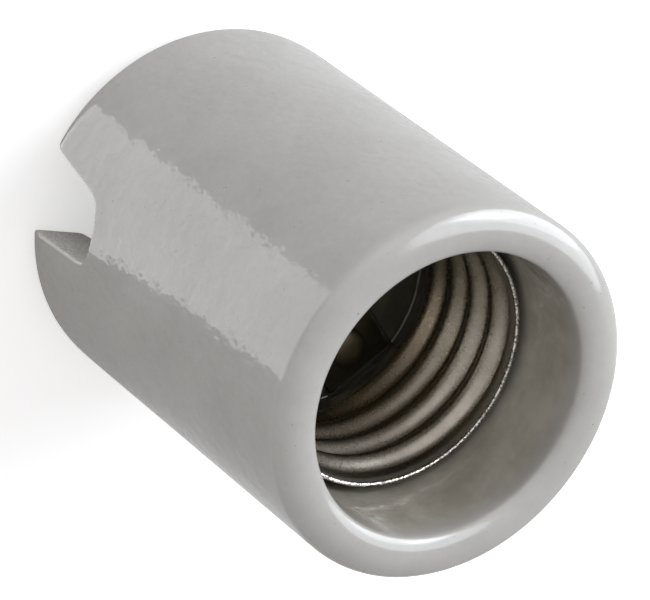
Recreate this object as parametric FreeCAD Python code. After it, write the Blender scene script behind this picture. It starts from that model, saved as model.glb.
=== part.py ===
"""Keyless screw-shell lamp holder with a one-piece porcelain body.

Frame: millimetres, +Z along the holder's axis from the rear rim to the mouth. The origin is the
centre of the rear rim's plane, and +X points through one of the two cable notches.
"""
import FreeCAD, Part
import math
import os

Vec = FreeCAD.Vector
ORIGIN = Vec(0, 0, 0)
UP = Vec(0, 0, 1)

# ---- porcelain body ----
LENGTH = 50.0
OUTER_RADIUS = 19.1          # about 1 1/2 inch across
BORE_RADIUS = 14.65          # lamp cavity, around the screw shell
LIP_OUTER_RUN = 2.5          # the lip's outer curve: inwards and down
LIP_OUTER_DROP = 1.5
LIP_INNER_DROP = 0.8         # the lip's inner curve falls this far into the bore
LIP_OUTER_BANDS = 4          # each round is turned in a few narrow bands
LIP_INNER_BANDS = 2
REAR_OUTER_ROUND = 3.0
REAR_INNER_ROUND = 2.0
REAR_OUTER_BANDS = 3
REAR_INNER_BANDS = 2
CHAMBER_RADIUS = 13.0        # open wiring chamber at the rear
CHAMBER_ROOF = 16.0
FLOOR = 23.0                 # floor of the lamp cavity
LEDGE = 25.5                 # the screw shell stands on this step
WELL_RADIUS = 13.2           # cavity below the step

# ---- cable notches, as sides of a U drawn across the wall ----
NOTCH_TOP = 12.65
NOTCH_WIDE_SIDE = (4.96, 2.73)     # distance from the middle at the rim and at the top
NOTCH_STEEP_SIDE = (4.63, 3.78)
NOTCH_WIDE_ROUND = 2.4
NOTCH_STEEP_ROUND = 1.4
NOTCH_MOUTH_ROUND = 2.0

# ---- contacts: their common line is turned from the notches ----
CONTACT_ANGLE = 137.8        # direction of the centre contact's foot from +X; the shell's foot is opposite
RIVET_PLACE = 9.0            # from the axis, along the contact line
SEAT_DEPTH = 0.4             # shallow channels that keep the two feet square
SEAT_WIDTH = 8.4
FOOT_WIDTH = 7.6

# ---- screw shell ----
SHELL_TOP = 40.0
SHELL_SHEET = 0.35
THREAD_MAJOR = 13.3          # inner radius of the plain rim and of the thread's valleys
THREAD_MINOR = 12.2          # inner radius of the thread's crests
THREAD_PITCH = 3.629         # seven threads to the inch
RIB_SHOULDER = 0.45          # the crest's rounding starts this far out from it
RIB_HALVES = (1.65, 1.1, 0.5)      # half widths at the rib's base, shoulder and crest
HOLLOW_HALVES = (1.6, 0.95, 0.35)  # the same for the hollow behind it
SUNK = (0.2, 0.16, 0.12)     # how deep in the sheet the rib starts, and has vanished at its ends
PROUD = (0.3, 0.2, 0.1)      # how far outside the sheet the hollow starts, and has vanished
THREAD_TURNS = 2.9           # turns at full depth
THREAD_FADE = 0.3            # turn over which each end sinks into the wall
THREAD_START = 27.2          # height of the lowest full crest
THREAD_START_ANGLE = 151.5 - 20.0
SHELL_FOOT_END = 5.8         # the foot's end, from the axis

# ---- centre contact strip ----
STRIP_SHEET = 0.5
STRIP_END = 12.4
STRIP_RISE_START = 5.4
CONTACT_HEIGHT = 27.6        # where the lamp's tip presses
TONGUE_END = 4.6             # past the axis
TONGUE_DROP = 0.9

# ---- terminals in the rear chamber ----
PLATE_SHEET = 0.9
SCREW_END_RADIUS = 3.7       # the plate's round end under the clamp washer
RIVET_END_RADIUS = 3.3
TERMINAL_PLACE = 8.5         # screw from the axis, behind its notch
COLLAR_RADIUS = 2.5
COLLAR_HEIGHT = 1.3
POCKET_RADIUS = 2.8
POCKET_DEPTH = 4.0
WIRE_STOP_SHEET = 0.8
WIRE_STOP_WIDTH = 6.0
WIRE_STOP_HEIGHT = 2.6
SCREW_RADIUS = 1.75
RUNNING_GAP = 0.05
WASHER_RADIUS = 3.5
WASHER_SHEET = 1.0
HEAD_RADIUS = 3.2
HEAD_HEIGHT = 2.3
HEAD_DOME = 0.9
HEAD_FLAT = 2.1
SCREW_LENGTH = 5.2
SLOT_WIDTH = 0.9
SLOT_DEPTH = 1.1
TIP_CHAMFER = 0.5

# ---- rivets and holes through the web ----
RIVET_RADIUS = 1.2
RIVET_HOLE_RADIUS = 1.4
RIVET_HEAD_RADIUS = 2.0
RIVET_HEAD_HEIGHT = 1.0
RIVET_HEAD_EDGE = 0.4
RIVET_HEAD_FLAT = 1.1
RIVET_TAIL_RADIUS = 1.8
RIVET_TAIL_HEIGHT = 0.8
MOUNT_HOLE_RADIUS = 2.1
MOUNT_CIRCLE = 18.0          # between the two mounting holes

PLATE_BOTTOM = CHAMBER_ROOF - PLATE_SHEET
WASHER_BOTTOM = PLATE_BOTTOM - WASHER_SHEET
SEAT = FLOOR - SEAT_DEPTH


def turned(shape, degrees):
    """The shape, turned about the holder's axis."""
    shape.rotate(ORIGIN, UP, degrees)
    return shape


def quarter_round(centre, run, rise, bands):
    """(radius, height) points from a round's side to its crown. Minus signs turn it inwards or down."""
    radius, height = centre
    steps = [math.pi / 2 * i / bands for i in range(bands + 1)]
    return [(radius + run * math.cos(a), height + rise * math.sin(a)) for a in steps]


def rod(radius, bottom, top, x=0.0, y=0.0):
    return Part.makeCylinder(radius, top - bottom, Vec(x, y, bottom))


def disc_profile(points):
    """A solid of revolution about Z, whose section has straight sides between (radius, height) points."""
    corners = [Vec(r, 0, z) for r, z in points]
    return Part.Face(Part.makePolygon(corners + corners[:1])).revolve(ORIGIN, UP, 360)


def edges_along_x(solid, y, z):
    """The solid's straight edges that run along X through (y, z)."""
    found = []
    for edge in solid.Edges:
        ends = [v.Point for v in edge.Vertexes]
        if all(abs(p.y - y) < 1e-6 and abs(p.z - z) < 1e-6 for p in ends):
            found.append(edge)
    return found


def body_blank():
    """The turned form of the porcelain, with its web, before notches and holes."""
    crown = OUTER_RADIUS - LIP_OUTER_RUN
    outer, inner = REAR_OUTER_ROUND, REAR_INNER_ROUND
    lip_outside = quarter_round((crown, LENGTH - LIP_OUTER_DROP),
                                LIP_OUTER_RUN, LIP_OUTER_DROP, LIP_OUTER_BANDS)
    lip_inside = quarter_round((crown, LENGTH - LIP_INNER_DROP),
                               BORE_RADIUS - crown, LIP_INNER_DROP, LIP_INNER_BANDS)
    rim_inside = quarter_round((CHAMBER_RADIUS + inner, inner), -inner, -inner, REAR_INNER_BANDS)
    rim_outside = quarter_round((OUTER_RADIUS - outer, outer), outer, -outer, REAR_OUTER_BANDS)
    cavity = [(BORE_RADIUS, LEDGE), (WELL_RADIUS, LEDGE), (WELL_RADIUS, FLOOR), (0, FLOOR)]
    chamber = [(0, CHAMBER_ROOF), (CHAMBER_RADIUS, CHAMBER_ROOF)]
    return disc_profile(lip_outside + lip_inside[-2::-1] + cavity + chamber + rim_inside + rim_outside[::-1])


def notch_cutter():
    """The air of the notch at +X: a U with drafted sides whose mouth is rounded off."""
    reach = 2.0 * NOTCH_WIDE_SIDE[0]
    wide, steep = NOTCH_WIDE_SIDE, NOTCH_STEEP_SIDE
    corners = [(-reach, -2), (-reach, 0), (-wide[0], 0), (-wide[1], NOTCH_TOP),
               (steep[1], NOTCH_TOP), (steep[0], 0), (reach, 0), (reach, -2)]
    points = [Vec(CHAMBER_RADIUS - 2, y, z) for y, z in corners]
    cutter = Part.Face(Part.makePolygon(points + points[:1])).extrude(Vec(10, 0, 0))
    for y, z, radius in ((-wide[0], 0, NOTCH_MOUTH_ROUND), (steep[0], 0, NOTCH_MOUTH_ROUND),
                         (-wide[1], NOTCH_TOP, NOTCH_WIDE_ROUND),
                         (steep[1], NOTCH_TOP, NOTCH_STEEP_ROUND)):
        cutter = cutter.makeFillet(radius, edges_along_x(cutter, y, z))
    return cutter


def foot_seat(depth_end):
    """The shallow channel for a foot, along +X to a given distance from the axis."""
    start = SHELL_FOOT_END - 1.4
    return Part.makeBox(depth_end - start, SEAT_WIDTH, FLOOR - SEAT + 0.2, Vec(start, -SEAT_WIDTH / 2, SEAT))


def shell_leg_slot():
    """The gap in the step that the shell's leg passes through."""
    outside = THREAD_MAJOR + SHELL_SHEET + 0.3
    return Part.makeBox(3.0, SEAT_WIDTH, LEDGE - SEAT + 0.2, Vec(outside - 3.0, -SEAT_WIDTH / 2, SEAT))


def porcelain_body():
    body = body_blank()
    for side in (0, 180):
        body = body.cut(turned(notch_cutter(), side))
    for side in (0, 180):
        pocket = rod(POCKET_RADIUS, CHAMBER_ROOF - 0.1, CHAMBER_ROOF + POCKET_DEPTH, TERMINAL_PLACE)
        body = body.cut(turned(pocket, side))
    for angle in (CONTACT_ANGLE, CONTACT_ANGLE + 180):
        hole = rod(RIVET_HOLE_RADIUS, CHAMBER_ROOF - 0.1, FLOOR + 0.1, RIVET_PLACE)
        mount = rod(MOUNT_HOLE_RADIUS, CHAMBER_ROOF - 0.1, FLOOR + 0.1, MOUNT_CIRCLE / 2)
        body = body.cut(turned(hole, angle))
        body = body.cut(turned(mount, angle + 90))
    body = body.cut(turned(foot_seat(WELL_RADIUS - 0.2), CONTACT_ANGLE))
    body = body.cut(turned(foot_seat(WELL_RADIUS - 0.2), CONTACT_ANGLE + 180))
    return body.cut(turned(shell_leg_slot(), CONTACT_ANGLE + 180))


def rib_section(radii, halves):
    """A thread's cross-section from base, shoulder and crest, as (radius, height) points."""
    below = [(radius, -half) for radius, half in zip(radii, halves)]
    above = [(radius, half) for radius, half in zip(radii, halves)]
    return below + above[::-1]


def section_wire(points, turns):
    """A rib section as a closed wire, moved along the thread by some turns."""
    corners = [Vec(r, 0, z + turns * THREAD_PITCH) for r, z in points]
    return turned(Part.makePolygon(corners + corners[:1]), 360 * turns)


def rib_stretch(start, turns, first, last):
    """One stretch of rolled rib, whose section changes from first to last."""
    spine = Part.Wire(Part.makeHelix(THREAD_PITCH, THREAD_PITCH * turns, THREAD_MAJOR).Edges)
    sections = [section_wire(first, 0)]
    if last is not first:
        sections.append(section_wire(last, turns))
    rib = spine.makePipeShell(sections, True, True)
    turned(rib, THREAD_START_ANGLE + 360 * start)
    rib.translate(Vec(0, 0, THREAD_START + THREAD_PITCH * start))
    return rib


def rolled_rib(full, faded):
    """The whole rib: a middle at full depth and two ends that sink into the wall."""
    return [rib_stretch(0, THREAD_TURNS, full, full),
            rib_stretch(THREAD_TURNS, THREAD_FADE, full, faded),
            rib_stretch(-THREAD_FADE, THREAD_FADE, faded, full)]


def shell_foot():
    """The leg that passes the step and the foot turned in on the floor, along +X."""
    outer = THREAD_MAJOR + SHELL_SHEET
    strip = Part.makeBox(outer, FOOT_WIDTH, LEDGE - SEAT + 0.5, Vec(0, -FOOT_WIDTH / 2, SEAT))
    leg = rod(outer, SEAT, LEDGE + 0.5).cut(rod(THREAD_MAJOR, SEAT + SHELL_SHEET, LEDGE + 0.5))
    foot = strip.common(leg)
    foot = foot.cut(rod(SHELL_FOOT_END, SEAT - 1, LEDGE + 1))
    return foot.cut(rod(RIVET_RADIUS, SEAT - 1, LEDGE + 1, RIVET_PLACE))


def screw_shell():
    """A drawn sheet cup without a floor; the rib inside and the hollow behind it are one rolled thread."""
    outer = THREAD_MAJOR + SHELL_SHEET
    shoulder = THREAD_MINOR + RIB_SHOULDER
    shell = rod(outer, LEDGE, SHELL_TOP).cut(rod(THREAD_MAJOR, LEDGE, SHELL_TOP))
    inside = rib_section((THREAD_MAJOR + SUNK[0], shoulder, THREAD_MINOR), RIB_HALVES)
    inside_end = rib_section([THREAD_MAJOR + sunk for sunk in SUNK], RIB_HALVES)
    hollow_radii = (outer + PROUD[0], shoulder + SHELL_SHEET, THREAD_MINOR + SHELL_SHEET)
    outside = rib_section(hollow_radii, HOLLOW_HALVES)
    outside_end = rib_section([outer + proud for proud in PROUD], HOLLOW_HALVES)
    for rib in rolled_rib(inside, inside_end):
        shell = shell.fuse(rib)
    for hollow in rolled_rib(outside, outside_end):
        shell = shell.cut(hollow)
    shell = shell.common(rod(outer + 1, LEDGE, SHELL_TOP))
    return shell.fuse(turned(shell_foot(), CONTACT_ANGLE + 180))


def centre_contact():
    """A flat foot in its seat, a steep rise and a springy tongue across the axis, along +X."""
    low = SEAT
    high = CONTACT_HEIGHT - STRIP_SHEET
    path = [(STRIP_END, low), (STRIP_RISE_START, low), (1.8, high), (-1.8, high),
            (-TONGUE_END, high - TONGUE_DROP)]
    corners = [Vec(x, 0, z) for x, z in path]
    wire = Part.makePolygon(corners)
    face = wire.makeOffset2D(STRIP_SHEET, fill=True, openResult=True)
    if face.BoundBox.ZMin < low - 1e-3:
        face = wire.makeOffset2D(-STRIP_SHEET, fill=True, openResult=True)
    face.translate(Vec(0, -FOOT_WIDTH / 2, 0))
    strip = face.extrude(Vec(0, FOOT_WIDTH, 0))
    return turned(strip.cut(rod(RIVET_RADIUS, low - 1, low + 2, RIVET_PLACE)), CONTACT_ANGLE)


def rivet(seat_top):
    """A rivet along Z, with a domed head on the foot and a spread tail under the terminal plate."""
    head_top = seat_top + RIVET_HEAD_HEIGHT
    tail_bottom = PLATE_BOTTOM - RIVET_TAIL_HEIGHT
    return disc_profile([
        (0, tail_bottom), (RIVET_TAIL_RADIUS, tail_bottom), (RIVET_TAIL_RADIUS, PLATE_BOTTOM),
        (RIVET_RADIUS, PLATE_BOTTOM), (RIVET_RADIUS, seat_top), (RIVET_HEAD_RADIUS, seat_top),
        (RIVET_HEAD_RADIUS, seat_top + RIVET_HEAD_EDGE), (RIVET_HEAD_FLAT, head_top), (0, head_top)])


def at_contact(shape, angle):
    """The shape, moved out to the rivet's place and turned to its contact."""
    shape.translate(Vec(RIVET_PLACE, 0, 0))
    return turned(shape, angle)


def polar(radius, degrees):
    return Vec(radius * math.cos(math.radians(degrees)), radius * math.sin(math.radians(degrees)), 0)


def terminal_plate(screw_angle, rivet_angle):
    """A round-ended plate from the rivet to the screw, with a collar and a wire stop turned down."""
    screw_at = polar(TERMINAL_PLACE, screw_angle)
    rivet_at = polar(RIVET_PLACE, rivet_angle)
    across = rivet_at - screw_at
    span = across.Length
    plate = Part.makeBox(span, 2 * RIVET_END_RADIUS, PLATE_SHEET, Vec(0, -RIVET_END_RADIUS, 0))
    plate.rotate(ORIGIN, UP, math.degrees(math.atan2(across.y, across.x)))
    plate.translate(screw_at + Vec(0, 0, PLATE_BOTTOM))
    for place, radius in ((screw_at, SCREW_END_RADIUS), (rivet_at, RIVET_END_RADIUS)):
        plate = plate.fuse(rod(radius, PLATE_BOTTOM, CHAMBER_ROOF, place.x, place.y))
    plate = plate.fuse(rod(COLLAR_RADIUS, PLATE_BOTTOM, CHAMBER_ROOF + COLLAR_HEIGHT, screw_at.x, screw_at.y))
    inner_edge = TERMINAL_PLACE - WASHER_RADIUS - 0.3
    stop = Part.makeBox(WIRE_STOP_SHEET, WIRE_STOP_WIDTH, WIRE_STOP_HEIGHT + PLATE_SHEET,
                        Vec(inner_edge - WIRE_STOP_SHEET, -WIRE_STOP_WIDTH / 2,
                            PLATE_BOTTOM - WIRE_STOP_HEIGHT))
    bridge = Part.makeBox(2.5, WIRE_STOP_WIDTH, PLATE_SHEET,
                          Vec(inner_edge - WIRE_STOP_SHEET, -WIRE_STOP_WIDTH / 2, PLATE_BOTTOM))
    plate = plate.fuse([turned(stop, screw_angle), turned(bridge, screw_angle)])
    tapped = rod(SCREW_RADIUS + RUNNING_GAP, PLATE_BOTTOM - 1, CHAMBER_ROOF + 3, screw_at.x, screw_at.y)
    riveted = rod(RIVET_RADIUS, PLATE_BOTTOM - 1, CHAMBER_ROOF + 1, rivet_at.x, rivet_at.y)
    return plate.cut(tapped).cut(riveted).removeSplitter()


def clamp_washer():
    hole = SCREW_RADIUS + RUNNING_GAP
    top = WASHER_BOTTOM + WASHER_SHEET
    return rod(WASHER_RADIUS, WASHER_BOTTOM, top).cut(rod(hole, WASHER_BOTTOM - 1, top + 1))


def terminal_screw():
    """A slotted binding-head screw, head towards the rear."""
    seat = WASHER_BOTTOM
    low = seat - HEAD_HEIGHT
    tip = seat + SCREW_LENGTH
    screw = disc_profile([
        (0, low), (HEAD_FLAT, low), (HEAD_RADIUS, low + HEAD_DOME), (HEAD_RADIUS, seat),
        (SCREW_RADIUS, seat), (SCREW_RADIUS, tip - TIP_CHAMFER),
        (SCREW_RADIUS - TIP_CHAMFER, tip), (0, tip)])
    slot = Part.makeBox(3 * HEAD_RADIUS, SLOT_WIDTH, SLOT_DEPTH + 1,
                        Vec(-1.5 * HEAD_RADIUS, -SLOT_WIDTH / 2, low - 1))
    slot.rotate(ORIGIN, UP, 30)
    return screw.cut(slot)


def at_terminal(shape, angle):
    """The shape, moved out behind its notch."""
    shape.translate(Vec(TERMINAL_PLACE, 0, 0))
    return turned(shape, angle)


def main():
    centre_angle, shell_angle = CONTACT_ANGLE, CONTACT_ANGLE + 180
    parts = {
        "porcelain_body": porcelain_body(),
        "screw_shell": screw_shell(),
        "centre_contact": centre_contact(),
        "shell_rivet": at_contact(rivet(SEAT + SHELL_SHEET), shell_angle),
        "centre_rivet": at_contact(rivet(SEAT + STRIP_SHEET), centre_angle),
        "shell_terminal": terminal_plate(0, shell_angle),
        "centre_terminal": terminal_plate(180, centre_angle),
        "shell_clamp_washer": at_terminal(clamp_washer(), 0),
        "centre_clamp_washer": at_terminal(clamp_washer(), 180),
        "shell_terminal_screw": at_terminal(terminal_screw(), 0),
        "centre_terminal_screw": at_terminal(terminal_screw(), 180),
    }
    os.makedirs("parts", exist_ok=True)
    for name, shape in parts.items():
        solids = shape.Solids
        print(name, "solids", len(solids), "volume", round(shape.Volume, 2), "valid", shape.isValid())
        (solids[0] if len(solids) == 1 else shape).exportStep("parts/" + name + ".step")


main()
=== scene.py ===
# %% [markdown]
# # A keyless porcelain lamp holder
# The holder is one pressed and glazed porcelain tube with a plated screw shell set deep in its mouth, a
# springy contact strip on its floor and two wire terminals in its open back. The imported solids give the
# sizes and places, and this lesson puts finished meshes and materials on them. The first cell loads
# them, in metres.

# %% Load the frame
import math
import bmesh
import bpy
from mathutils import Matrix, Vector


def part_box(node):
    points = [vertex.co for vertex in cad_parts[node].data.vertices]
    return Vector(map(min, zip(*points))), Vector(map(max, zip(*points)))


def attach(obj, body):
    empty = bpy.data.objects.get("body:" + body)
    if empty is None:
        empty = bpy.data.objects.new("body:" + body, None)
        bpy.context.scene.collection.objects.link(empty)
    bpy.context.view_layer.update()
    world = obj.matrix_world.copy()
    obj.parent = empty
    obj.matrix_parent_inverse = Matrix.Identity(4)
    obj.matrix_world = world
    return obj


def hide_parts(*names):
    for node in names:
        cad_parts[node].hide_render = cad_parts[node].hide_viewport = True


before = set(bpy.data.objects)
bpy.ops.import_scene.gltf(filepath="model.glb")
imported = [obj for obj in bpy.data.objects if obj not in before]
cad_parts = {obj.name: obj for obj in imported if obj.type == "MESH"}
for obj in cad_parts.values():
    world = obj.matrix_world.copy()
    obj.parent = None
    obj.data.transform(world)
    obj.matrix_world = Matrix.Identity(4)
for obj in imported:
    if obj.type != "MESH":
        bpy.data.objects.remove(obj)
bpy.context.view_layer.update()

print("nodes:", ", ".join(sorted(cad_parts)))

# %% [markdown]
# ## Driving sizes
# Meshes are drawn in millimetres, as a holder is dimensioned, and scaled to metres when the object is
# made. The outer sizes are read from the frame's boxes, so that they always agree with the solids. The
# inner ones are written down here, once.

# %% Sizes
MM = 0.001  # metres in a millimetre


def highest_mm(node):
    """The highest corner of a solid's box, in millimetres."""
    return [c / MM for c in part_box(node)[1]]


OUTER, _, LENGTH = highest_mm("porcelain_body")
SHELL_TOP = highest_mm("screw_shell")[2]
BORE = 14.65  # radius of the lamp cavity
WELL = 13.2  # radius of the well in the cavity's floor
CHAMBER = 13.0  # radius of the wiring chamber
ROOF = 16.0  # height of the wiring chamber's roof
FLOOR = 23.0  # height of the well's floor
LEDGE = 25.5  # height of the ledge that the shell stands on
CONTACT_ANGLE = math.radians(137.8)  # direction of the centre contact's foot
OPPOSITE = CONTACT_ANGLE + math.pi  # direction of the shell's foot
print(f"body {2 * OUTER:.1f} x {LENGTH:.1f} mm, shell rim at {SHELL_TOP:.1f} mm")

# %% [markdown]
# ## From points to objects
# Most pieces start as a list of points and faces. They could be modelled by hand in Edit Mode, but a
# list can be worked out from the sizes above. These helpers make the object, keep what its modifiers
# did, and fasten it to its body.

# %% Make a piece
def make_mesh(name, points, faces):
    """A smooth object, from points in millimetres and faces of point numbers."""
    mesh = bpy.data.meshes.new(name)
    mesh.from_pydata([Vector(p) * MM for p in points], [], faces)
    mesh.validate()
    mesh.shade_smooth()
    piece = bpy.data.objects.new(name, mesh)
    bpy.context.scene.collection.objects.link(piece)
    return piece


def keep_modifiers(piece):
    """Makes what the modifiers show into the piece's own mesh."""
    graph = bpy.context.evaluated_depsgraph_get()
    baked = bpy.data.meshes.new_from_object(piece.evaluated_get(graph))
    piece.modifiers.clear()
    piece.data = baked


def seat(piece, body, slot, *nodes):
    """Fastens a piece to its body, in place of the solids that it stands for."""
    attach(piece, body)
    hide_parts(*nodes)
    print(piece.name, "has", len(piece.data.polygons), "faces and rides on", body)

# %% [markdown]
# ## Small rounds
# No cut or pressed edge is quite sharp, and its small round catches the light. A Bevel modifier could
# round a finished mesh. For turned pieces they are drawn into the outline, which then serves all round.

# %% Rounded outline
CORNER_SHARE = 0.45  # the most of a side that a round may use up


def rounded(corners, radius, steps=3):
    """An open outline with a small round at each corner between its two ends."""
    path = [Vector(corners[0])]
    for before, corner, after in zip(corners, corners[1:], corners[2:]):
        corner = Vector(corner)
        back, ahead = Vector(before) - corner, Vector(after) - corner
        reach = min(radius, back.length * CORNER_SHARE, ahead.length * CORNER_SHARE)
        start, end = corner + back.normalized() * reach, corner + ahead.normalized() * reach
        for i in range(steps + 1):
            t = i / steps
            path.append(start * (1 - t) ** 2 + corner * 2 * t * (1 - t) + end * t ** 2)
    return path + [Vector(corners[-1])]


print("one round:", len(rounded([(0, 0), (1, 0), (1, 1)], 0.2)), "points")

# %% [markdown]
# ## A lathe for small turned pieces
# Rivets, washers and screws are turned or headed from round stock. Blender's Spin tool would sweep a
# section round an axis too. This lathe gives its points ring by ring, an order that the screws need
# when a thread is wound on them.

# %% Lathe
def ring(radii, z, place=(0, 0)):
    """A ring of points at a height, one for each radius."""
    angles = [2 * math.pi * i / len(radii) for i in range(len(radii))]
    return [(place[0] + r * math.cos(a), place[1] + r * math.sin(a), z) for r, a in zip(radii, angles)]


def wrapped_faces(rings, sides, first=0):
    """Faces between neighbouring rings of points, each ring closed on itself."""
    faces = []
    for number in range(rings - 1):
        low = first + number * sides
        high = low + sides
        for i in range(sides):
            j = (i + 1) % sides
            faces.append((low + i, low + j, high + j, high + i))
    return faces


def lathe(section, place=(0, 0), sides=48):
    """Points and faces of a section of radii and heights, swept round an upright line."""
    points = []
    for r, z in section:
        points += ring([r] * sides, z, place)
    return points, wrapped_faces(len(section), sides)


print("two rings of 48 points:", len(wrapped_faces(2, 48)), "faces")

# %% [markdown]
# ## Cleaning a mesh
# Where a section meets the axis, the lathe leaves a ring of points in one spot, and new faces may look
# inwards. Merge by Distance and Recalculate Normals mend this by hand. The helper does both and counts
# open edges, because an open mesh can't be cut well.

# %% Clean up
JOIN_GAP = 1e-7  # metres


def tidy_mesh(piece, gap=JOIN_GAP):
    """Joins points that meet, turns every face outwards and counts what is left open."""
    build = bmesh.new()
    build.from_mesh(piece.data)
    if gap:
        bmesh.ops.remove_doubles(build, verts=build.verts, dist=gap)
        bmesh.ops.dissolve_degenerate(build, dist=gap, edges=build.edges)
    bmesh.ops.recalc_face_normals(build, faces=build.faces)
    loose = sum(1 for edge in build.edges if not edge.is_manifold)
    build.to_mesh(piece.data)
    build.free()
    print(piece.name, "open edges:", loose)

# %% [markdown]
# ## The notch's outline
# A cable enters at each side through a U-shaped notch in the rear of the wall. Its sides lean in, its
# inner corners are round and its mouth is flared. A Boolean cut would leave an edge that a subdivision
# surface can't round, so a function gives the distance to each side at any height, and the porcelain is
# built round it.

# %% Notch outline
NOTCH_TOP = 12.65
FLARE = 1.7  # radius of the mouth's flare
WIDE = dict(rim=4.8, top=2.73, corner=2.4)  # half-widths at rim and top, and corner radius
STEEP = dict(rim=4.4, top=3.78, corner=1.4)


def notch_side(side, z):
    """Distance from the notch's middle to one of its sides, at a height."""
    lean = (side["rim"] - side["top"]) / NOTCH_TOP
    y = side["rim"] - lean * min(z, NOTCH_TOP)
    if z < FLARE:
        y += FLARE - math.sqrt(FLARE ** 2 - (FLARE - z) ** 2)
    above = min(z, NOTCH_TOP) - (NOTCH_TOP - side["corner"])
    if above > 0:
        y -= side["corner"] - math.sqrt(max(side["corner"] ** 2 - above ** 2, 0.0))
    return y


for height in (0, NOTCH_TOP / 2, NOTCH_TOP):
    print(f"at {height:.1f} mm: {notch_side(WIDE, height):.2f} and {notch_side(STEEP, height):.2f} mm")

# %% [markdown]
# ## Columns of the cage
# The porcelain is pressed in one piece and glazed, so every edge is soft. A subdivision surface gives
# just that, from a coarse cage: columns along the tube and rows round it. Columns crowd together beside
# the notches, where an edge stays fairly tight, and are even elsewhere. Each is an offset in degrees
# from a notch's middle.

# %% Columns
EDGE = 12.0  # the column that follows a notch's side
QUARTER_TURN = 90  # the column midway between the notches
CROWDED = [4, EDGE, 13.7, 16, 19, 23.5, 29]
EVEN = list(range(35, 85, 7))
ONE_SIDE = CROWDED + EVEN
OFFSETS = [-offset for offset in reversed(ONE_SIDE)] + ONE_SIDE + [QUARTER_TURN]
COLUMNS = [(centre, offset) for centre in (0, 180) for offset in OFFSETS]
NEAR_AXIS = 5.0  # radius inside which the columns only fan out


def column_angle(column, r, z):
    """Direction of a column at a radius and a height, bent aside by the notch."""
    centre, offset = column
    if abs(offset) == QUARTER_TURN:
        return math.radians(centre + offset)
    side = WIDE if offset < 0 else STEEP
    edge = EDGE
    if r > NEAR_AXIS:
        edge = math.degrees(math.asin(min(notch_side(side, z) / r, 1.0)))
    size = abs(offset)
    if size <= EDGE:
        turned = size * edge / EDGE
    else:
        turned = edge + (size - EDGE) * (QUARTER_TURN - edge) / (QUARTER_TURN - EDGE)
    return math.radians(centre + math.copysign(turned, offset))


print(len(COLUMNS), "columns")

# %% [markdown]
# ## Rows beside a notch
# A row is a radius and a height. These rows run down the two sides of the wiring chamber's wall, and
# each side ends in a quarter round at the rear rim. A notch interrupts them all, and rungs across the
# wall will close it.

# %% Rows beside a notch
OUTER_ROUND, INNER_ROUND = 3.0, 2.0
QUARTER = [math.radians(a) for a in (22.5, 45, 67.5, 90)]
SIDE_HEIGHTS = [NOTCH_TOP, 12.3, 11.6, 10.6, 9.0, 6.0]
RUNGS = (0.09, 0.5, 0.91)  # steps across the wall, from outside to inside


def wall_rows(radius, inward, size):
    """Rows down a wall and round its rear edge, towards the axis (-1) or away (1)."""
    rows = [(radius, z) for z in SIDE_HEIGHTS + [size]]
    for a in QUARTER:
        rows.append((radius + inward * size * (1 - math.cos(a)), size * (1 - math.sin(a))))
    return rows


outside_notch = wall_rows(OUTER, -1, OUTER_ROUND)
inside_notch = wall_rows(CHAMBER, 1, INNER_ROUND)
rim_out, rim_in = outside_notch[-1], inside_notch[-1]
rim_rows = [(rim_out[0] + (rim_in[0] - rim_out[0]) * t, 0.0) for t in RUNGS]
print(len(outside_notch), "rows beside a notch,", len(rim_rows), "on the rim")

# %% [markdown]
# ## The lip and the lamp cavity
# The mouth's lip is an uneven oval, with a wide fall to the outside and a short one to the bore. Two
# quarter ellipses draw it. The other rows lie close at a corner and far apart between.

# %% Lip, bore and roof rows
CROWN = OUTER - 2.5  # radius of the lip's highest point
LIP_OUT_DROP, LIP_IN_DROP = 1.5, 0.8
AXIS_RING = 1.5  # radius of the last row round the axis
ROUND = 0.2  # reach of the small rounds of ledge and well


def lip_rows(run, drop, count):
    """Rows of a quarter ellipse, from its foot up to the crown."""
    steps = [math.pi / 2 * i / count for i in range(count + 1)]
    return [(CROWN + run * math.cos(a), LENGTH - drop + drop * math.sin(a)) for a in steps]


side_rows = [(OUTER, z) for z in (13.4, 15.5, 19, 24, 29, 34, 39, 43.5, 46.5, 47.8)]
lip_out = lip_rows(OUTER - CROWN, LIP_OUT_DROP, 6)
lip_in = lip_rows(BORE - CROWN, LIP_IN_DROP, 4)[::-1]
bore_rows = [(BORE, z) for z in (48.6, 46.5, 43, 38, 33, 29, 26.4, LEDGE + ROUND)]
ledge_rows = [(BORE - ROUND, LEDGE), (WELL + ROUND, LEDGE)]
well_rows = [(WELL, LEDGE - ROUND), (WELL, 24.2), (WELL, FLOOR + 0.25), (WELL - 0.25, FLOOR)]
floor_rows = [(r, FLOOR) for r in (11.5, 6, AXIS_RING)]
mouth_rows = side_rows + lip_out + lip_in[1:] + bore_rows + ledge_rows + well_rows + floor_rows
chamber_rows = [(CHAMBER, z) for z in (13.4, 14.8, ROOF - 0.4)]
chamber_rows += [(r, ROOF) for r in (CHAMBER - 0.4, 11, 6, AXIS_RING)]
print(len(mouth_rows), "rows from the notch to the floor,", len(chamber_rows), "to the roof")

# %% [markdown]
# ## A net of points and faces
# Each row becomes a ring of points, and four-sided faces join neighbouring rings, except where a notch
# leaves the wall open. Faces that meet share their points, so the net remembers each by its column and
# row.

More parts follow.
